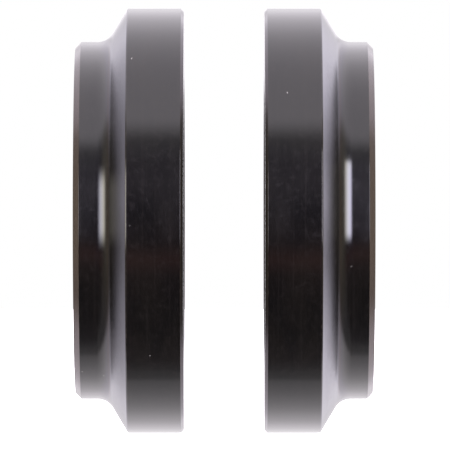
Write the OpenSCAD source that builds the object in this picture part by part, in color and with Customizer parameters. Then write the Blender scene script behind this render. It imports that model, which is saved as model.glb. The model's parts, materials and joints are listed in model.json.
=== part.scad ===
// Bottom bracket: a pair of press-in bearing cups for a one-piece-size (American) shell,
// each with a sealed bearing for a 24 mm crank spindle.
//
// +Z is up, +X is forward and the spindle axis is Y. +Y is the rider's left.
// The origin is on the spindle axis, halfway between the two cups.

/* [Cup outside] */
// Diameter of the press seat that fills the frame's shell
seat_d = 51.3; // [50.8:0.1:52]
// Width of the press seat, from the inboard face to the sharp edge
seat_w = 6.8; // [6:0.1:7]
// Diameter of the nose that stands outside the shell
nose_d = 43.2; // [43:0.1:44]
// Width of the whole cup along the spindle
cup_w = 13.1; // [13:0.1:15]
// Angle between the conical shoulder and the spindle axis
cone_angle = 59; // [55:1:65]
// Radius of the hollow that joins the cone to the nose
fillet_r = 2.2; // [1.2:0.1:2.4]
// Chamfer around the outboard end of the nose
nose_chamfer = 0.7; // [0.3:0.05:0.9]
// Chamfer around the inboard face
face_chamfer = 0.35; // [0.2:0.05:0.8]
// Distance between the inboard faces of the two cups as they are stored
cup_gap = 9.7; // [1:0.1:60]

/* [Bearing] */
// Outer diameter of the bearing and of its seat in the cup
bearing_od = 37; // [36.8:0.1:37]
// Bore of the bearing
bearing_id = 25; // [24.9:0.05:25.2]
// Width of the bearing
bearing_w = 7; // [6.9:0.1:7]
// Diameter of one ball
ball_d = 3.5; // [3.2:0.1:3.5]
// Number of balls
balls = 17; // [12:1:17]

/* [Spindle side] */
// Diameter of the crank spindle that runs through the sleeves
spindle_d = 24; // [23.9:0.05:24.1]
// Diameter of the sleeve's flange, which the lip seal runs on
flange_d = 29.2; // [28.9:0.1:29.4]
// Section of the ring that seals the sleeve on the spindle
o_ring_cs = 1.5; // [1:0.1:1.6]

/* [Hidden] */
$fn = 160;
RIGHT = -1;
LEFT = 1;

// Places along a cup, measured outwards from its inboard face.
shoulder_w = 2.2;
bearing_z = shoulder_w + bearing_w / 2;
bearing_out = shoulder_w + bearing_w;
clip_w = 1.5;
clip_groove_w = 1.6;
seal_seat_z = bearing_out + clip_groove_w;
crank_face_z = cup_w - 0.1;

// Radii of the cup.
seat_r = seat_d / 2;
nose_r = nose_d / 2;
through_r = 17;
bearing_r = bearing_od / 2;
clip_groove_r = bearing_r + 1;
seal_seat_r = bearing_r + 0.3;
edge_break = 0.08;
bore_chamfer = 0.4;

// The cone meets the hollow at cone_r, cone_z. The hollow's centre is at hollow_r, hollow_z.
hollow_r = nose_r + fillet_r;
cone_r = hollow_r - fillet_r * cos(cone_angle);
cone_z = seat_w + (seat_r - cone_r) / tan(cone_angle);
hollow_z = cone_z + fillet_r * sin(cone_angle);

// The bearing: balls roll on a pitch circle with a little play in both grooves.
pitch_r = (bearing_od + bearing_id) / 4;
ball_r = ball_d / 2;
ball_play = 0.02;
groove_r = ball_r + ball_play;
race_land = 1.2;
inner_land_r = pitch_r - race_land;
outer_land_r = pitch_r + race_land;
race_chamfer = 0.3;
seal_step_r = outer_land_r + 0.6;
seal_groove_r = seal_step_r + 0.25;
seal_step_depth = 1;
lip_play = 0.03;
cage_r = [pitch_r - 0.75, pitch_r + 0.75];
cage_z = [bearing_z - 2.4, bearing_z + 1.1];
pocket_r = ball_r + 0.08;

// The sleeve, its ring and the lip seal.
spindle_r = spindle_d / 2;
sleeve_in = shoulder_w + 0.2;
flange_r = flange_d / 2;
o_ring_z = bearing_out + 2.2;
o_ring_r = o_ring_cs / 2;
o_ring_play = 0.03;
o_groove_r = spindle_r + o_ring_play + o_ring_cs;
o_groove_w = o_ring_cs + 0.3;

// Puts a piece drawn along +Z, with the cup's inboard face at z = 0, on its side of the frame.
// The left side is the mirror image of the right.
module on_side(side)
  mirror([0, side == LEFT ? 1 : 0, 0])
    rotate([90, 0, 0])
      translate([0, 0, cup_gap / 2])
        children();

// A solid of revolution about the spindle axis, from an outline of [radius, z] points.
module turned(outline)
  rotate_extrude()
    polygon(outline);

// A ring with a rectangular section.
module ring(r_in, r_out, z_low, z_high)
  turned([[r_in, z_low], [r_out, z_low], [r_out, z_high], [r_in, z_high]]);

// The space that the balls sweep, which both races are grooved by.
module ball_track()
  rotate_extrude()
    translate([pitch_r, bearing_z])
      circle(r = groove_r);

// Half section of the cup without the hollow between cone and nose.
function cup_outline() = [
  [through_r + bore_chamfer, 0],
  [seat_r - face_chamfer, 0],
  [seat_r, face_chamfer],
  [seat_r, seat_w - edge_break],
  [seat_r - edge_break, seat_w + edge_break / tan(cone_angle)],
  [cone_r, cone_z],
  [hollow_r, hollow_z],
  [nose_r, hollow_z],
  [nose_r, cup_w - nose_chamfer],
  [nose_r - nose_chamfer, cup_w],
  [seal_seat_r + bore_chamfer, cup_w],
  [seal_seat_r, cup_w - bore_chamfer],
  [seal_seat_r, seal_seat_z],
  [clip_groove_r, seal_seat_z],
  [clip_groove_r, bearing_out],
  [bearing_r, bearing_out],
  [bearing_r, shoulder_w],
  [through_r, shoulder_w],
  [through_r, bore_chamfer]
];

module cup()
  color("#1b191b")
    rotate_extrude()
      difference() {
        polygon(cup_outline());
        translate([hollow_r, hollow_z])
          circle(r = fillet_r);
      }

module outer_race() {
  z_low = shoulder_w;
  z_high = bearing_out;
  color("#b9bcc0")
    difference() {
      turned([
        [seal_step_r, z_low], [bearing_r - race_chamfer, z_low], [bearing_r, z_low + race_chamfer],
        [bearing_r, z_high - race_chamfer], [bearing_r - race_chamfer, z_high], [seal_step_r, z_high],
        [seal_step_r, z_high - 0.45], [seal_groove_r, z_high - 0.45],
        [seal_groove_r, z_high - seal_step_depth], [outer_land_r, z_high - seal_step_depth],
        [outer_land_r, z_low + seal_step_depth], [seal_groove_r, z_low + seal_step_depth],
        [seal_groove_r, z_low + 0.45], [seal_step_r, z_low + 0.45]
      ]);
      ball_track();
    }
}

module inner_race() {
  z_low = shoulder_w;
  z_high = bearing_out;
  bore_r = bearing_id / 2;
  color("#b9bcc0")
    difference() {
      turned([
        [bore_r, z_low + race_chamfer], [bore_r + race_chamfer, z_low], [inner_land_r, z_low],
        [inner_land_r, z_high], [bore_r + race_chamfer, z_high], [bore_r, z_high - race_chamfer]
      ]);
      ball_track();
    }
}

module ball_set()
  color("#d4d6d9")
    for (i = [0 : balls - 1])
      rotate([0, 0, i * 360 / balls])
        translate([pitch_r, 0, bearing_z])
          sphere(r = ball_r);

// A crown cage: the balls snap in from the outboard side.
module ball_cage()
  color("#c9b98f")
    difference() {
      ring(cage_r[0], cage_r[1], cage_z[0], cage_z[1]);
      for (i = [0 : balls - 1])
        rotate([0, 0, i * 360 / balls])
          translate([pitch_r, 0, bearing_z]) {
            sphere(r = pocket_r);
            cylinder(r = pocket_r * 0.9, h = ball_d);
          }
    }

// A bearing seal, drawn for the inboard face at z = 0 with the bearing on its +Z side.
function seal_outline() = [
  [inner_land_r + lip_play, 0.35],
  [inner_land_r + 0.3, 0.2],
  [seal_step_r - 0.1, 0.2],
  [seal_step_r, 0.3],
  [seal_step_r, 0.5],
  [seal_groove_r, 0.5],
  [seal_groove_r, 0.9],
  [inner_land_r + 0.6, 0.9],
  [inner_land_r + lip_play, 0.6]
];

module inboard_bearing_seal()
  color("#2a2a2c")
    translate([0, 0, shoulder_w])
      turned(seal_outline());

module outboard_bearing_seal()
  color("#2a2a2c")
    translate([0, 0, bearing_out])
      mirror([0, 0, 1])
        turned(seal_outline());

// An internal spring ring with a gap at the top and a plier hole in each end.
module retaining_ring() {
  ring_in = bearing_r - 1.2;
  ring_out = clip_groove_r - 0.05;
  gap_angle = 26;
  lug_r = 1.5;
  lug_at = ring_out - 1.9;
  hole_r = 0.6;
  color("#4a4a4e")
    translate([0, 0, bearing_out])
      difference() {
        linear_extrude(clip_w) {
          difference() {
            circle(r = ring_out);
            circle(r = ring_in);
            polygon([[0, 0], for (a = [-1, 0, 1]) 2 * ring_out * [cos(a * gap_angle / 2 + 90),
                                                                 sin(a * gap_angle / 2 + 90)]]);
          }
          for (way = [-1, 1])
            rotate(way * (gap_angle / 2 + 3) + 90)
              translate([lug_at, 0])
                circle(r = lug_r);
        }
        for (way = [-1, 1])
          rotate([0, 0, way * (gap_angle / 2 + 3) + 90])
            translate([lug_at, 0, -1])
              cylinder(r = hole_r, h = clip_w + 2);
      }
}

// The top-hat sleeve that brings the bearing's bore down to the spindle.
module spindle_sleeve() {
  barrel_r = bearing_id / 2;
  chamfer = 0.2;
  color("#2d2d30")
    turned([
      [spindle_r + chamfer, sleeve_in], [barrel_r - chamfer, sleeve_in], [barrel_r, sleeve_in + chamfer],
      [barrel_r, bearing_out], [inner_land_r - 0.2, bearing_out], [inner_land_r - 0.2, bearing_out + 0.3],
      [flange_r, bearing_out + 0.8], [flange_r, crank_face_z - chamfer],
      [flange_r - chamfer, crank_face_z], [spindle_r + 0.3, crank_face_z], [spindle_r, crank_face_z - 0.3],
      [spindle_r, o_ring_z + o_groove_w / 2], [o_groove_r, o_ring_z + o_groove_w / 2],
      [o_groove_r, o_ring_z - o_groove_w / 2], [spindle_r, o_ring_z - o_groove_w / 2],
      [spindle_r, sleeve_in + chamfer]
    ]);
}

module spindle_o_ring()
  color("#161617")
    rotate_extrude()
      translate([o_groove_r - o_ring_r, o_ring_z])
        circle(r = o_ring_r);

// The outer lip seal: a collar pressed in the nose, a web, and two lips that run on the sleeve.
module lip_seal() {
  collar_r = seal_seat_r - 1.2;
  web_z = [cup_w - 1.1, cup_w - 0.3];
  lip_r = flange_r + lip_play;
  color("#212123")
    turned([
      [collar_r, seal_seat_z + 0.1], [seal_seat_r - 0.2, seal_seat_z + 0.1],
      [seal_seat_r, seal_seat_z + 0.3], [seal_seat_r, cup_w - 0.5], [seal_seat_r - 0.2, web_z[1]],
      [lip_r + 0.7, web_z[1]], [lip_r + 0.1, cup_w - 0.15], [lip_r, cup_w - 0.25],
      [lip_r, cup_w - 0.4], [lip_r + 0.5, web_z[0] + 0.3], [lip_r, web_z[0] - 0.3],
      [lip_r, web_z[0] - 0.5], [lip_r + 0.25, web_z[0] - 0.5], [lip_r + 1, web_z[0]],
      [collar_r - 0.3, web_z[0]], [collar_r, web_z[0] - 0.3]
    ]);
}

on_side(RIGHT) cup();  // right_cup
on_side(RIGHT) outer_race();  // right_outer_race
on_side(RIGHT) inner_race();  // right_inner_race
on_side(RIGHT) ball_set();  // right_ball_set
on_side(RIGHT) ball_cage();  // right_ball_cage
on_side(RIGHT) inboard_bearing_seal();  // right_inboard_bearing_seal
on_side(RIGHT) outboard_bearing_seal();  // right_outboard_bearing_seal
on_side(RIGHT) retaining_ring();  // right_retaining_ring
on_side(RIGHT) spindle_sleeve();  // right_spindle_sleeve
on_side(RIGHT) spindle_o_ring();  // right_spindle_o_ring
on_side(RIGHT) lip_seal();  // right_lip_seal
on_side(LEFT) cup();  // left_cup
on_side(LEFT) outer_race();  // left_outer_race
on_side(LEFT) inner_race();  // left_inner_race
on_side(LEFT) ball_set();  // left_ball_set
on_side(LEFT) ball_cage();  // left_ball_cage
on_side(LEFT) inboard_bearing_seal();  // left_inboard_bearing_seal
on_side(LEFT) outboard_bearing_seal();  // left_outboard_bearing_seal
on_side(LEFT) retaining_ring();  // left_retaining_ring
on_side(LEFT) spindle_sleeve();  // left_spindle_sleeve
on_side(LEFT) spindle_o_ring();  // left_spindle_o_ring
on_side(LEFT) lip_seal();  // left_lip_seal
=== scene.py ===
"""Looks of the press-in bottom bracket: two glossy black turned cups, each with a sealed bearing.

Every turned CAD piece is rebuilt on its own outline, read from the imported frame, as a finer lathed
mesh with rounded edges. Balls, cages and retaining rings stay as the CAD has them.
The spindle axis is Y, +Z is up, and the camera looks along +X. Lengths are in metres.
"""
import json
import math

import bpy
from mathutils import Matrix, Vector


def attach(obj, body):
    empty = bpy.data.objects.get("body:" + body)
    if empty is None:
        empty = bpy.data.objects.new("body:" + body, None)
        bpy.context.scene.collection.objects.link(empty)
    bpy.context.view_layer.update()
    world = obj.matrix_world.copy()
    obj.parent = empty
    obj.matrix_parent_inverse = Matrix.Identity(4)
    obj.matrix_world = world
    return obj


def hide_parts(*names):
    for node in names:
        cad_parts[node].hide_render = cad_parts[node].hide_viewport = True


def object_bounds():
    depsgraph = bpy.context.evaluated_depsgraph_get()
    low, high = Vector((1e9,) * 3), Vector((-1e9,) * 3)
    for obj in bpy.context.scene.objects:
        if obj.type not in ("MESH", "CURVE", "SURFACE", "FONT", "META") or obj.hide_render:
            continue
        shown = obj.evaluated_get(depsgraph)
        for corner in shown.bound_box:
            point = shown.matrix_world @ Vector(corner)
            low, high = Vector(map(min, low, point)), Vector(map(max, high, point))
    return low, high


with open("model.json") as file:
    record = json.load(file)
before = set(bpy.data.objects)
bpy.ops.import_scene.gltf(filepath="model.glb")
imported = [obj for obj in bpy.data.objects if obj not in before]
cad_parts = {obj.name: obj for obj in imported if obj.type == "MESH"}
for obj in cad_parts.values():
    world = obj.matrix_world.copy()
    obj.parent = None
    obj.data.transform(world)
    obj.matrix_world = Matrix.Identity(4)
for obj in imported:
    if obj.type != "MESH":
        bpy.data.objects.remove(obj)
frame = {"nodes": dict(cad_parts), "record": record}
cad_low, cad_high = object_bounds()

MM = 0.001
SEAT_R = cad_high.z
FLOOR_Z = cad_low.z

# Pieces that are lathed again: their rounding, in metres, and their steps around the axis.
TURNED = {
    "cup": (0.50 * MM, 320),
    "outer_race": (0.15 * MM, 128),
    "inner_race": (0.10 * MM, 192),
    "inboard_bearing_seal": (0.10 * MM, 192),
    "outboard_bearing_seal": (0.10 * MM, 128),
    "spindle_sleeve": (0.08 * MM, 192),
    "spindle_o_ring": (0.05 * MM, 128),
    "lip_seal": (0.12 * MM, 192),
}
SLOTS = {p["node"]: p["material_slot"] for p in frame["record"]["subparts"]}
BODIES = {n: body for body, nodes in frame["record"]["behaviour"]["bodies"].items() for n in nodes}


# ------------------------------------------------------------------ turned pieces

# Where an outline turns by less than SOFT_TURN it is curving. More is a corner: up to
# BROKEN_EDGE_TURN a broken edge, and up to CHAMFER_TURN the edge of a chamfer.
STRAIGHT_TURN = 0.001
SOFT_TURN = math.radians(20)
BROKEN_EDGE_TURN = math.radians(40)
CHAMFER_TURN = math.radians(50)
# The shares of the full rounding that those two kinds of corner get.
BROKEN_EDGE_SHARE = 0.14
CHAMFER_SHARE = 0.08
# The most of a neighbouring straight that a rounding takes up.
CORNER_ROOM = 0.45
ARC_STEP = math.radians(3)
SAME_POINT = 0.001 * MM
ON_SEAM = 1e-8


def half_section(node):
    """The closed outline of a turned CAD node as (radius, y) points, counterclockwise."""
    mesh = frame["nodes"][node].data
    seam = {v.index: (v.co.x, v.co.y) for v in mesh.vertices if v.co.x > 0 and abs(v.co.z) < ON_SEAM}
    links = {point: set() for point in seam.values()}
    for edge in mesh.edges:
        a, b = (seam.get(i) for i in edge.vertices)
        if a and b and a != b:
            links[a].add(b)
            links[b].add(a)
    walk = [min(links)]
    onward = sorted(links[walk[0]])
    while onward:
        walk.append(onward[0])
        onward = [p for p in links[walk[-1]] if p not in walk]
    doubled_area = sum(a[0] * b[1] - b[0] * a[1] for a, b in zip(walk, walk[1:] + walk[:1]))
    walk = walk if doubled_area > 0 else walk[::-1]
    walk = [p for p, before in zip(walk, walk[-1:] + walk[:-1]) if math.dist(p, before) > SAME_POINT]
    return [p for p, turn in zip(walk, turns(walk)) if abs(turn) > STRAIGHT_TURN]


def heading(a, b):
    """The angle of the line from a to b."""
    return math.atan2(b[1] - a[1], b[0] - a[0])


def wrapped(angle):
    """The same angle between minus and plus half a turn."""
    return (angle + math.pi) % (2 * math.pi) - math.pi


def turns(outline):
    """How far the outline turns at each point: positive where the solid bulges."""
    before, after = outline[-1:] + outline[:-1], outline[1:] + outline[:1]
    return [wrapped(heading(p, c) - heading(a, p)) for a, p, c in zip(before, outline, after)]


def arc(centre, radius, start, end, wear):
    """An arc as (point, normal, wear), its normal swinging from start to end.

    A hollow has a negative radius. Wear is greatest in the middle of the arc.
    """
    steps = max(2, math.ceil(abs(end - start) / ARC_STEP))
    made = []
    for i in range(steps + 1):
        angle = start + (end - start) * i / steps
        normal = (math.cos(angle), math.sin(angle))
        point = (centre[0] + radius * normal[0], centre[1] + radius * normal[1])
        made.append((point, normal, wear * math.sin(math.pi * i / steps)))
    return made


def corner(before, point, after, radius):
    """A sharp corner of the outline, rounded."""
    into, out = heading(before, point), heading(point, after)
    turn = wrapped(out - into)
    room = CORNER_ROOM * min(math.dist(before, point), math.dist(point, after))
    cut = min(room, radius * math.tan(abs(turn) / 2))
    signed = math.copysign(cut / math.tan(abs(turn) / 2), turn)
    normal = into - math.pi / 2
    centre = (
        point[0] - cut * math.cos(into) - signed * math.cos(normal),
        point[1] - cut * math.sin(into) - signed * math.sin(normal),
    )
    return arc(centre, signed, normal, normal + turn, 1.0 if turn > 0 else 0.0)


def softness(turn):
    """The share of the rounding that a corner gets. Chamfers and broken edges stay crisp."""
    if abs(turn) < BROKEN_EDGE_TURN:
        return BROKEN_EDGE_SHARE
    return CHAMFER_SHARE if abs(turn) < CHAMFER_TURN else 1.0


def circle_through(a, b, c):
    """Centre and radius of the circle through three points."""
    d = 2 * (a[0] * (b[1] - c[1]) + b[0] * (c[1] - a[1]) + c[0] * (a[1] - b[1]))
    aa, bb, cc = (p[0] ** 2 + p[1] ** 2 for p in (a, b, c))
    x = (aa * (b[1] - c[1]) + bb * (c[1] - a[1]) + cc * (a[1] - b[1])) / d
    y = (aa * (c[0] - b[0]) + bb * (a[0] - c[0]) + cc * (b[0] - a[0])) / d
    return (x, y), math.dist((x, y), a)


def curved_run(run, bulges):
    """A curved stretch of the outline, drawn again as one true arc."""
    centre, radius = circle_through(run[0], run[len(run) // 2], run[-1])
    radius = radius if bulges else -radius
    ends = (run[0], run[-1])
    start, end = (math.atan2((p[1] - centre[1]) / radius, (p[0] - centre[0]) / radius) for p in ends)
    return arc(centre, radius, start, start + wrapped(end - start), 0.0)


def rounded(outline, radius):
    """The whole outline as (point, normal, wear), with rounded corners and true arcs."""
    bends = turns(outline)
    count = len(outline)
    if all(abs(t) < SOFT_TURN for t in bends):
        centre, radius = circle_through(outline[0], outline[count // 3], outline[2 * count // 3])
        return arc(centre, radius, 0, 2 * math.pi, 0.0)[:-1]
    first = next(i for i, t in enumerate(bends) if abs(t) >= SOFT_TURN)
    order = [(first + i) % count for i in range(count)]
    made, run = [], []
    for i in order + order[:1]:
        if abs(bends[i]) < SOFT_TURN:
            run.append(i)
            continue
        if len(run) > 2:
            made += curved_run([outline[j] for j in run], bends[run[1]] > 0)
        run = []
        if i != first or not made:
            before, after = outline[i - 1], outline[(i + 1) % count]
            made += corner(before, outline[i], after, radius * softness(bends[i]))
    return made


def lathe(name, section, steps):
    """A closed solid of revolution about Y with exact normals."""
    verts, faces, normals = [], [], []
    for i in range(steps):
        c, s = math.cos(2 * math.pi * i / steps), math.sin(2 * math.pi * i / steps)
        verts += [(p[0] * c, p[1], p[0] * s) for p, _, _ in section]
        normals += [(n[0] * c, n[1], n[0] * s) for _, n, _ in section]
    size = len(section)
    for i in range(steps):
        here, there = i * size, (i + 1) % steps * size
        for j in range(size):
            k = (j + 1) % size
            faces.append((here + j, here + k, there + k, there + j))
    mesh = bpy.data.meshes.new(name)
    mesh.from_pydata(verts, [], faces)
    mesh.shade_smooth()
    mesh.normals_split_custom_set_from_vertices(normals)
    wear = mesh.attributes.new("edge_wear", "FLOAT", "POINT")
    wear.data.foreach_set("value", [w for _, _, w in section] * steps)
    piece = bpy.data.objects.new(name, mesh)
    bpy.context.scene.collection.objects.link(piece)
    return piece


# ------------------------------------------------------------------ materials


class Graph:
    """A node tree with short calls for the nodes used here."""

    def __init__(self, tree):
        self.tree = tree
        tree.nodes.clear()

    def put(self, socket, value):
        """Links the value if it is another node's output, or else sets it on the socket."""
        if isinstance(value, bpy.types.NodeSocket):
            self.tree.links.new(value, socket)
        elif value is not None:
            socket.default_value = value

    def node(self, kind, inputs=None, **settings):
        made = self.tree.nodes.new(kind)
        for key, value in settings.items():
            setattr(made, key, value)
        for key, value in (inputs or {}).items():
            self.put(made.inputs[key], value)
        return made

    def math(self, operation, *values, clamp=False):
        made = self.node("ShaderNodeMath", operation=operation, use_clamp=clamp)
        for socket, value in zip(made.inputs, values):
            self.put(socket, value)
        return made.outputs[0]

    def times(self, a, b):
        return self.math("MULTIPLY", a, b)

    def plus(self, a, b):
        return self.math("ADD", a, b)

    def vectors(self, operation, a, b):
        return self.node("ShaderNodeVectorMath", {0: a, 1: b}, operation=operation).outputs[0]

    def scaled(self, vector, factor):
        return self.node("ShaderNodeVectorMath", {0: vector, 3: factor}, operation="SCALE").outputs[0]

    def root_of_squares(self, a, b):
        return self.math("SQRT", self.plus(self.times(a, a), self.times(b, b)))

    def span(self, value, low, high, to_low=0.0, to_high=1.0, smooth=True):
        """A value's rise from to_low to to_high as it goes from low to high."""
        inputs = {"Value": value, "From Min": low, "From Max": high, "To Min": to_low, "To Max": to_high}
        kind = "SMOOTHSTEP" if smooth else "LINEAR"
        return self.node("ShaderNodeMapRange", inputs, interpolation_type=kind).outputs["Result"]

    def mix(self, factor, a, b):
        made = self.node("ShaderNodeMix", data_type="RGBA")
        for socket, value in zip((made.inputs[0], made.inputs[6], made.inputs[7]), (factor, a, b)):
            self.put(socket, value)
        return made.outputs[2]

    def ramp(self, factor, stops):
        """A colour ramp; stops are (place from 0 to 1, colour)."""
        made = self.node("ShaderNodeValToRGB", {"Fac": factor})
        elements = made.color_ramp.elements
        while len(elements) < len(stops):
            elements.new(0.5)
        for element, (place, colour) in zip(elements, stops):
            element.position = place
            element.color = (*colour, 1)
        return made.outputs["Color"]

    def noise(self, vector, scale, detail=2.0, roughness=0.5):
        inputs = {"Vector": vector, "Scale": scale, "Detail": detail, "Roughness": roughness}
        return self.node("ShaderNodeTexNoise", inputs).outputs["Fac"]

    def vector(self, x=0.0, y=0.0, z=0.0):
        return self.node("ShaderNodeCombineXYZ", {"X": x, "Y": y, "Z": z}).outputs[0]


def grey(value):
    """A grey as red, green and blue."""
    return (value, value, value)


class Surface(Graph):
    """A material on its own object coordinates, with the turned pieces' lathe coordinates."""

    def __init__(self, name):
        self.material = bpy.data.materials.new(name)
        self.material.use_nodes = True
        super().__init__(self.material.node_tree)
        coordinates = self.node("ShaderNodeTexCoord").outputs
        self.place = coordinates["Object"]
        x, y, z = self.node("ShaderNodeSeparateXYZ", {"Vector": self.place}).outputs
        facing = self.node("ShaderNodeSeparateXYZ", {"Vector": coordinates["Normal"]}).outputs
        self.tilt = self.math("ABSOLUTE", facing[1])
        self.radius = self.root_of_squares(x, z)
        self.spoke = (self.math("DIVIDE", x, self.radius), self.math("DIVIDE", z, self.radius))
        # The feed changes along the seat, cone, hollow, nose and faces, so rings cross all of them.
        self.feed = self.math("SUBTRACT", self.math("ABSOLUTE", y), self.radius)

    def rolled_out(self, across, around):
        """The turned surface's place: across along the tool's feed, around in units per radian."""
        x, z = (self.times(part, around) for part in self.spoke)
        return self.vector(self.times(self.feed, across), x, z)

    def tool_marks(self, pitch, wander=0.35):
        """Fine rings left by the lathe tool: a noise that is long around the axis, short along it."""
        return self.noise(self.rolled_out(1.0 / pitch, wander), 1.0, detail=3.0, roughness=0.65)

    def specks(self, place, scale, share, size):
        """Small sparse spots: one in the middle of some of the cells of a loose grid."""
        cells = self.node("ShaderNodeTexVoronoi", {"Vector": place, "Scale": scale, "Randomness": 1.0})
        lot = self.node("ShaderNodeSeparateColor", {"Color": cells.outputs["Color"]}).outputs[0]
        spot = self.span(cells.outputs["Distance"], size, 0.5 * size)
        return self.times(self.math("LESS_THAN", lot, share), spot)

    def bump(self, height, strength, distance):
        inputs = {"Height": height, "Strength": strength, "Distance": distance}
        return self.node("ShaderNodeBump", inputs).outputs["Normal"]

    def finish(self, **inputs):
        """Ends the material in a Principled shader with these inputs."""
        named = {key.replace("_", " "): value for key, value in inputs.items()}
        shader = self.node("ShaderNodeBsdfPrincipled", named)
        self.node("ShaderNodeOutputMaterial", {"Surface": shader.outputs[0]})
        return self.material


# The anodised cups' colours, from the black of the dye to a worn edge and dust, with a brown painted
# reflection for the nose's chamfer and a warm painted sheen on the reflections off slanted faces.
DEEP_BLACK = (0.0009, 0.0008, 0.0009, 1)
WARM_BLACK = (0.0020, 0.0016, 0.0014, 1)
THIN_BLACK = (0.0055, 0.0045, 0.0043, 1)
# Brown painted into the nose chamfer's colour: a painted reflection of the warm side light that the
# chamfer mirrors.
CHAMFER_PAINTED_REFLECTION = (0.046, 0.034, 0.024, 1)
WORN_EDGE = (0.07, 0.055, 0.042, 1)
DUST = (0.17, 0.16, 0.15, 1)
WHITE = (1, 1, 1, 1)
# A warm tint on the reflections from slanted faces: partly the anodising's colour play, partly a painted
# warm reflection of the side light.
SLANTED_PAINTED_SHEEN = (1.0, 0.90, 0.77, 1)
# A radius that lies between the nose's chamfer and the slanting part of the hollow.
PAST_CHAMFER_R = 0.85 * SEAT_R
# The press seat is glossier than the rest, and the change is spread over the cone's outer part.
SEAT_GLOSS_FROM = SEAT_R - 1.15 * MM
SEAT_GLOSS_FULL = SEAT_R - 0.25 * MM


def dyed_tone(s, smears, blotches):
    """The dye's black: warmer in smears, and thinner along some tool rings and in small blotches."""
    rings = s.span(s.tool_marks(0.36 * MM, wander=0.9), 0.50, 0.70)
    tone = s.mix(s.span(smears, 0.35, 0.7), DEEP_BLACK, WARM_BLACK)
    tone = s.mix(s.times(rings, 0.30), tone, THIN_BLACK)
    return s.mix(s.times(s.span(blotches, 0.50, 0.72), 0.4), tone, THIN_BLACK)


def small_scratches(s):
    """Short scratches: specks in a place that is stretched around the axis and slightly bent."""
    place = s.vectors("ADD", s.rolled_out(260, 1.7), s.scaled(s.place, 60.0))
    return s.specks(place, 2.0, 0.45, 0.038)


def worn_edges(s):
    """Wear in patches along the rounded outer corners."""
    edge = s.node("ShaderNodeAttribute", attribute_name="edge_wear").outputs["Fac"]
    return s.times(edge, s.span(s.noise(s.place, 1800.0, detail=3.0), 0.40, 0.66))


def black_anodised():
    """Glossy black anodising over turning marks, with smears, dust, small scratches and worn edges, a
    brown painted reflection on the nose's chamfer and a warm painted sheen on slanted faces.
    """
    s = Surface("black_anodised")
    smears = s.noise(s.rolled_out(90, 1.1), 3.0, detail=4.0)
    blotches = s.noise(s.place, 1500.0, detail=4.0, roughness=0.6)
    dust = s.specks(s.place, 330.0, 0.60, 0.024)
    slanting = s.times(s.span(s.tilt, 0.60, 0.69), s.span(s.tilt, 0.73, 0.80, 1.0, 0.0))
    painted_chamfer_reflection = s.times(slanting, s.math("LESS_THAN", s.radius, PAST_CHAMFER_R))
    coned = s.span(s.tilt, 0.55, 0.85)
    seat = s.span(s.radius, SEAT_GLOSS_FROM, SEAT_GLOSS_FULL)
    # Painted reflection: the nose's chamfer is browned where it mirrors the warm side light.
    tone = s.mix(s.times(painted_chamfer_reflection, 0.38), dyed_tone(s, smears, blotches), CHAMFER_PAINTED_REFLECTION)
    tone = s.mix(s.times(worn_edges(s), 0.35), tone, WORN_EDGE)
    tone = s.mix(s.math("MAXIMUM", dust, small_scratches(s)), tone, DUST)
    rough = s.plus(s.span(smears, 0.3, 0.75, 0.135, 0.17), s.times(coned, 0.02))
    rough = s.plus(rough, s.times(seat, -0.04))
    rough = s.plus(rough, s.times(s.span(blotches, 0.45, 0.75), 0.03))
    relief = s.plus(s.times(s.tool_marks(0.11 * MM), 0.25), s.tool_marks(0.42 * MM, wander=0.15))
    return s.finish(
        Base_Color=tone,
        Roughness=s.math("ADD", rough, s.times(dust, 0.3), clamp=True),
        IOR=1.5,
        Anisotropic=s.span(coned, 0.0, 1.0, 0.70, 0.84),
        Anisotropic_Rotation=0.25,
        Tangent=s.node("ShaderNodeTangent", direction_type="RADIAL", axis="Y").outputs[0],
        # Slanted faces get the warm painted sheen on their reflections.
        Specular_Tint=s.mix(slanting, WHITE, SLANTED_PAINTED_SHEEN),
        Normal=s.bump(relief, 0.6, 0.004 * MM),
    )


def bearing_steel():
    """Ground bearing steel."""
    s = Surface("bearing_steel")
    marks = s.tool_marks(0.05 * MM)
    tone = s.mix(marks, (0.44, 0.44, 0.46, 1), (0.60, 0.60, 0.61, 1))
    rough = s.span(marks, 0.2, 0.8, 0.20, 0.36)
    return s.finish(Base_Color=tone, Metallic=1.0, Roughness=rough, Normal=s.bump(marks, 0.3, 0.002 * MM))


def polished_steel():
    """Polished balls with a film of grease."""
    s = Surface("polished_steel")
    film = s.noise(s.place, 900.0, detail=2.0)
    tone = s.mix(film, (0.58, 0.59, 0.60, 1), (0.72, 0.73, 0.74, 1))
    return s.finish(Base_Color=tone, Metallic=1.0, Roughness=s.span(film, 0.3, 0.7, 0.05, 0.14))


def cage_nylon():
    """Natural nylon with glass fibre in it."""
    s = Surface("cage_nylon")
    fibre = s.noise(s.place, 2500.0, detail=4.0, roughness=0.7)
    tone = s.mix(fibre, (0.50, 0.44, 0.30, 1), (0.66, 0.60, 0.44, 1))
    return s.finish(Base_Color=tone, Roughness=0.5, Normal=s.bump(fibre, 0.3, 0.01 * MM))


def spring_steel():
    """Blackened spring steel with an oil film."""
    s = Surface("spring_steel")
    patch = s.noise(s.place, 500.0, detail=5.0, roughness=0.6)
    tone = s.mix(s.span(patch, 0.35, 0.65), (0.05, 0.05, 0.055, 1), (0.13, 0.125, 0.12, 1))
    rough = s.span(patch, 0.3, 0.7, 0.28, 0.5)
    return s.finish(Base_Color=tone, Metallic=0.9, Roughness=rough, Normal=s.bump(patch, 0.3, 0.004 * MM))


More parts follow.
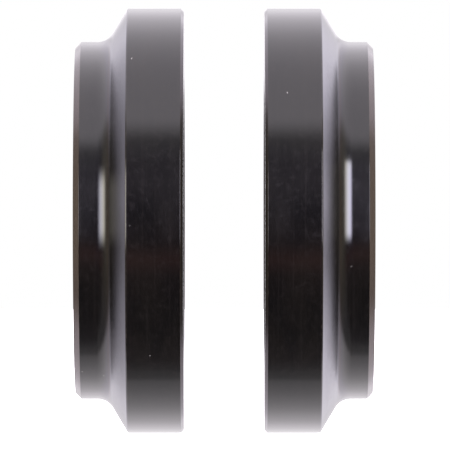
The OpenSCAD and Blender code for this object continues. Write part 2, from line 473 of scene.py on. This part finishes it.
def moulded_rubber(name, dark, light, least_rough, most_rough):
    """Black moulded rubber: a fine grain, faint flow rings and a dry bloom in patches."""
    s = Surface(name)
    grain = s.noise(s.place, 5200.0, detail=3.0, roughness=0.6)
    bloom = s.noise(s.place, 260.0, detail=4.0)
    rings = s.tool_marks(0.3 * MM, wander=0.1)
    height = s.plus(grain, s.times(rings, 0.6))
    tone = s.mix(s.span(bloom, 0.35, 0.7), dark, light)
    rough = s.span(bloom, 0.3, 0.7, least_rough, most_rough)
    return s.finish(Base_Color=tone, Roughness=rough, Normal=s.bump(height, 0.35, 0.006 * MM))


def sleeve_acetal():
    """Turned black acetal: a satin skin with even tool rings."""
    s = Surface("sleeve_acetal")
    marks = s.tool_marks(0.09 * MM, wander=0.2)
    tone = s.mix(marks, (0.012, 0.012, 0.013, 1), (0.026, 0.026, 0.027, 1))
    rough = s.span(marks, 0.2, 0.8, 0.26, 0.42)
    return s.finish(Base_Color=tone, Roughness=rough, IOR=1.48, Normal=s.bump(marks, 0.4, 0.004 * MM))


FLOOR_GLOW = 1.0


def pale_floor():
    """A plain pale light table."""
    s = Surface("pale_floor")
    tone = s.mix(s.noise(s.place, 6.0), (0.80, 0.80, 0.80, 1), (0.83, 0.83, 0.83, 1))
    return s.finish(Base_Color=tone, Roughness=0.6, Emission_Color=WHITE, Emission_Strength=FLOOR_GLOW)


MATERIALS = {
    "black_anodised": black_anodised(),
    "bearing_steel": bearing_steel(),
    "polished_steel": polished_steel(),
    "cage_nylon": cage_nylon(),
    "spring_steel": spring_steel(),
    "sleeve_acetal": sleeve_acetal(),
    "bearing_seal_rubber": moulded_rubber(
        "bearing_seal_rubber", (0.012, 0.012, 0.013, 1), (0.024, 0.024, 0.025, 1), 0.42, 0.6),
    "lip_seal_rubber": moulded_rubber(
        "lip_seal_rubber", (0.009, 0.009, 0.010, 1), (0.018, 0.018, 0.019, 1), 0.34, 0.52),
    "o_ring_rubber": moulded_rubber(
        "o_ring_rubber", (0.006, 0.006, 0.007, 1), (0.012, 0.012, 0.013, 1), 0.16, 0.28),
}


def make_pieces():
    """Lathes the turned pieces and gives every piece its material."""
    for node, cad in frame["nodes"].items():
        side, kind = node.split("_", 1)
        if kind in TURNED:
            radius, steps = TURNED[kind]
            piece = lathe(f"{side}_turned_{kind}", rounded(half_section(node), radius), steps)
            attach(piece, BODIES[node])
            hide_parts(node)
        else:
            piece = cad
        piece.data.materials.clear()
        piece.data.materials.append(MATERIALS[SLOTS[node]])


# ------------------------------------------------------------------ studio

# The studio is a white tent, open and dark on the camera's side, with one softbox either side of
# the camera. Directions are given by height in degrees, and by azimuth, which runs from the
# camera's side, 0, through either end of the spindle, 90, to the back, 180.
# A colour ramp holds colours up to 1, so each table is divided by a top value and multiplied back.
BRIGHTEST = 4.0
WALL_TOP = 3.0
TINT_TOP = 2.0
# The light's colour by height: on the camera's side, at the sides as far as the white, and in the
# white. The camera's side fades into the sides over a range of azimuths.
DARK_BY_HEIGHT = [
    (-90, (0.40, 0.38, 0.40)), (-81, (0.20, 0.18, 0.19)), (-66, (0.11, 0.10, 0.10)),
    (-45, (0.09, 0.08, 0.08)), (-30, (0.14, 0.11, 0.10)), (-21, (0.36, 0.20, 0.17)),
    (-12, (0.14, 0.11, 0.11)), (5, (0.12, 0.11, 0.12)), (20, (0.36, 0.33, 0.35)),
    (31, (0.32, 0.30, 0.32)), (41, (0.55, 0.53, 0.57)), (90, (1.0, 1.0, 1.0)),
]
SIDE_BY_HEIGHT = [
    (-90, (0.50, 0.48, 0.50)), (-50, (0.36, 0.34, 0.35)), (-22, (0.45, 0.41, 0.39)),
    (-9, (0.64, 0.58, 0.54)), (4, (0.60, 0.55, 0.52)), (22, (0.68, 0.64, 0.63)),
    (45, (0.80, 0.78, 0.80)),
]
WHITE_BY_HEIGHT = [
    (-90, (0.8, 0.78, 0.8)), (-80, (1.1, 1.05, 1.1)), (-65, (1.6, 1.52, 1.6)),
    (-48, (2.0, 1.9, 2.0)), (-30, (1.9, 1.8, 1.9)), (-13, (1.35, 1.3, 1.35)),
    (-5, (1.1, 1.06, 1.1)), (3, (1.55, 1.49, 1.55)), (10, (1.12, 1.08, 1.14)),
    (20, (1.75, 1.68, 1.78)), (30, (2.1, 2.0, 2.15)), (50, (2.5, 2.36, 2.56)),
    (90, (2.35, 2.2, 2.4)),
]
SIDES_FROM, SIDES_FULL = 40.0, 72.0
# Where the white begins: the roof's rim as a height for each azimuth, and the back wall's rim as
# an azimuth for each height. Each rim is soft over this many degrees either side.
ROOF_RIM = [(0, 50), (40, 48), (60, 44), (75, 41), (90, 36), (100, 31), (115, 20), (135, 0), (180, -10)]
ROOF_SOFTNESS = 8
BACK_RIM = [
    (-90, 178), (-84, 172), (-76, 110), (-60, 101), (-45, 102),
    (-30, 108), (-20, 110), (20, 110), (30, 109),
]
BACK_SOFTNESS = 9
# The walls beyond the ends of the spindle are brighter than the wall straight behind, and the
# light from each quarter has its own faint tint. Both fade out between these heights.
WALL_HEIGHTS = (15.0, 25.0)
TINT_HEIGHTS = (26.0, 50.0)
WALL_BY_AZIMUTH = {
    "left": [(0, 1.0), (90, 1.0), (112, 1.2), (130, 1.2), (152, 1.6), (168, 1.0), (180, 1.0)],
    "right": [(0, 1.0), (90, 1.0), (112, 2.1), (138, 2.6), (152, 1.8), (168, 1.0), (180, 1.0)],
}
TINT_BY_AZIMUTH = [
    (0, (1.01, 0.96, 1.00)), (14, (0.94, 0.90, 1.20)), (26, (0.95, 0.92, 1.12)),
    (40, (0.98, 0.96, 1.05)), (52, (1.02, 0.98, 0.96)), (63, (1.06, 1.00, 0.84)),
    (90, (1.05, 1.00, 0.90)), (98, (0.98, 0.95, 1.00)), (112, (0.97, 0.95, 1.10)),
    (150, (0.98, 0.97, 1.04)), (180, (1.00, 1.00, 1.00)),
]
# The softboxes: brightness, then the degrees over which each edge fades. The edges are given by the
# surface that would mirror them to the camera: near and far by how far it leans towards the end of
# the spindle, foot and top by how far it is turned up around the spindle.
SOFTBOXES = {
    "left": {
        "level": 10.5,
        "near": (8.5, 19.5),
        "far": (26.5, 38.5),
        "foot": (-9.5, -2.0),
        "top": (10.0, 17.8),
    },
    "right": {
        "level": 16.5,
        "near": (2.5, 12.0),
        "far": (14.5, 34.0),
        "foot": (-7.4, -3.6),
        "top": (18.0, 20.0),
    },
}


class Tent(Graph):
    """The world's node tree, with the direction of each ray as height and azimuth."""

    def __init__(self, tree):
        super().__init__(tree)
        place = self.node("ShaderNodeTexCoord").outputs["Generated"]
        x, self.y, z = self.node("ShaderNodeSeparateXYZ", {"Vector": place}).outputs
        aside = self.math("ABSOLUTE", self.y)
        facing = self.math("SUBTRACT", 1.0, x)
        self.height = self.math("DEGREES", self.math("ARCSINE", z))
        self.azimuth = self.angle(aside, self.times(x, -1.0))
        self.turn = self.angle(z, facing)
        self.lean = self.angle(aside, self.root_of_squares(facing, z))
        self.up = self.span(self.height, -90.0, 90.0, smooth=False)
        self.turned = self.span(self.azimuth, 0.0, 180.0, smooth=False)

    def angle(self, rise, run):
        return self.math("DEGREES", self.math("ARCTAN2", rise, run))

    def colour(self, table):
        """The light's colour from a table by height."""
        stops = [((deg + 90) / 180, tuple(c / BRIGHTEST for c in rgb)) for deg, rgb in table]
        return self.ramp(self.up, stops)

    def degrees(self, place, low, table):
        """A table of degrees against degrees."""
        found = self.ramp(place, [((deg - low) / 180, grey((value + 90) / 270)) for deg, value in table])
        return self.span(found, 0.0, 1.0, -90.0, 180.0, smooth=False)

    def past(self, value, rim, softness):
        """How far a direction is past a soft rim."""
        return self.span(self.math("SUBTRACT", value, rim), -softness, softness)

    def white(self):
        """How far each direction is inside the white roof or the white back wall."""
        roof = self.past(self.height, self.degrees(self.turned, 0, ROOF_RIM), ROOF_SOFTNESS)
        back = self.past(self.azimuth, self.degrees(self.up, -90, BACK_RIM), BACK_SOFTNESS)
        return self.math("MAXIMUM", roof, back)

    def low_down(self, colour, full, gone):
        """The colour near the horizon, plain white above and below."""
        share = self.span(self.math("ABSOLUTE", self.height), full, gone, 1.0, 0.0)
        return self.mix(share, WHITE, colour)

    def wall(self):
        """How much brighter the white is at each azimuth, low down."""
        sides = []
        for side in ("right", "left"):
            stops = [(deg / 180, grey(value / WALL_TOP)) for deg, value in WALL_BY_AZIMUTH[side]]
            sides.append(self.ramp(self.turned, stops))
        here = self.mix(self.math("GREATER_THAN", self.y, 0.0), *sides)
        return self.low_down(self.scaled(here, WALL_TOP), *WALL_HEIGHTS)

    def tint(self):
        """The faint tint of the light at each azimuth, low down."""
        stops = [(deg / 180, tuple(c / TINT_TOP for c in rgb)) for deg, rgb in TINT_BY_AZIMUTH]
        return self.low_down(self.scaled(self.ramp(self.turned, stops), TINT_TOP), *TINT_HEIGHTS)

    def softbox(self, side):
        """One softbox: full between its soft edges, and only on its own side of the camera."""
        edges = SOFTBOXES[side]
        here = self.math("LESS_THAN" if side == "right" else "GREATER_THAN", self.y, 0.0)
        for value, rise, fall in ((self.lean, "near", "far"), (self.turn, "foot", "top")):
            here = self.times(here, self.span(value, *edges[rise]))
            here = self.times(here, self.span(value, *edges[fall], 1.0, 0.0))
        return self.times(here, edges["level"] / BRIGHTEST)


def light_tent():
    """The tent and its softboxes, as the world's light. The camera itself sees plain white."""
    world = bpy.data.worlds.new("light_tent")
    bpy.context.scene.world = world
    world.use_nodes = True
    t = Tent(world.node_tree)
    sides = t.span(t.azimuth, SIDES_FROM, SIDES_FULL)
    dim = t.mix(sides, t.colour(DARK_BY_HEIGHT), t.colour(SIDE_BY_HEIGHT))
    bright = t.vectors("MULTIPLY", t.colour(WHITE_BY_HEIGHT), t.wall())
    boxes = t.plus(t.softbox("left"), t.softbox("right"))
    tent = t.vectors("ADD", t.mix(t.white(), dim, bright), boxes)
    total = t.vectors("MULTIPLY", tent, t.tint())
    seen = t.node("ShaderNodeBackground", {"Color": WHITE, "Strength": 1.0})
    lit = t.node("ShaderNodeBackground", {"Color": total, "Strength": BRIGHTEST})
    ray = t.node("ShaderNodeLightPath").outputs["Is Camera Ray"]
    shader = t.node("ShaderNodeMixShader", {0: ray, 1: lit.outputs[0], 2: seen.outputs[0]})
    t.node("ShaderNodeOutputWorld", {"Surface": shader.outputs[0]})


FLOOR_HALF = 1.5


def make_floor():
    """A plain pale light table under the part, left out of the mirror-like reflections."""
    mesh = bpy.data.meshes.new("floor")
    signs = [(-1, -1), (1, -1), (1, 1), (-1, 1)]
    corners = [(x * FLOOR_HALF, y * FLOOR_HALF, FLOOR_Z) for x, y in signs]
    mesh.from_pydata(corners, [], [(0, 1, 2, 3)])
    mesh.materials.append(pale_floor())
    floor = bpy.data.objects.new("floor", mesh)
    bpy.context.scene.collection.objects.link(floor)
    floor.visible_glossy = False


# The camera looks level along +X, from far away on a long lens, aimed slightly off the axis.
CAMERA_DISTANCE = 40 * SEAT_R
VIEW_WIDTH = 2.122 * SEAT_R
AIM_Y = -0.004 * SEAT_R
AIM_Z = -0.0212 * SEAT_R


def make_camera():
    """The camera, at the photograph's viewing angle."""
    data = bpy.data.cameras.new("camera")
    data.sensor_width = 36.0
    data.lens = data.sensor_width * CAMERA_DISTANCE / VIEW_WIDTH
    data.clip_start, data.clip_end = 0.01, 20.0
    camera = bpy.data.objects.new("camera", data)
    camera.location = (-CAMERA_DISTANCE, AIM_Y, AIM_Z)
    camera.rotation_euler = (math.pi / 2, 0, -math.pi / 2)
    bpy.context.scene.collection.objects.link(camera)
    bpy.context.scene.camera = camera


make_camera()
make_pieces()
make_floor()
light_tent()
bpy.context.scene.view_settings.view_transform = "Standard"
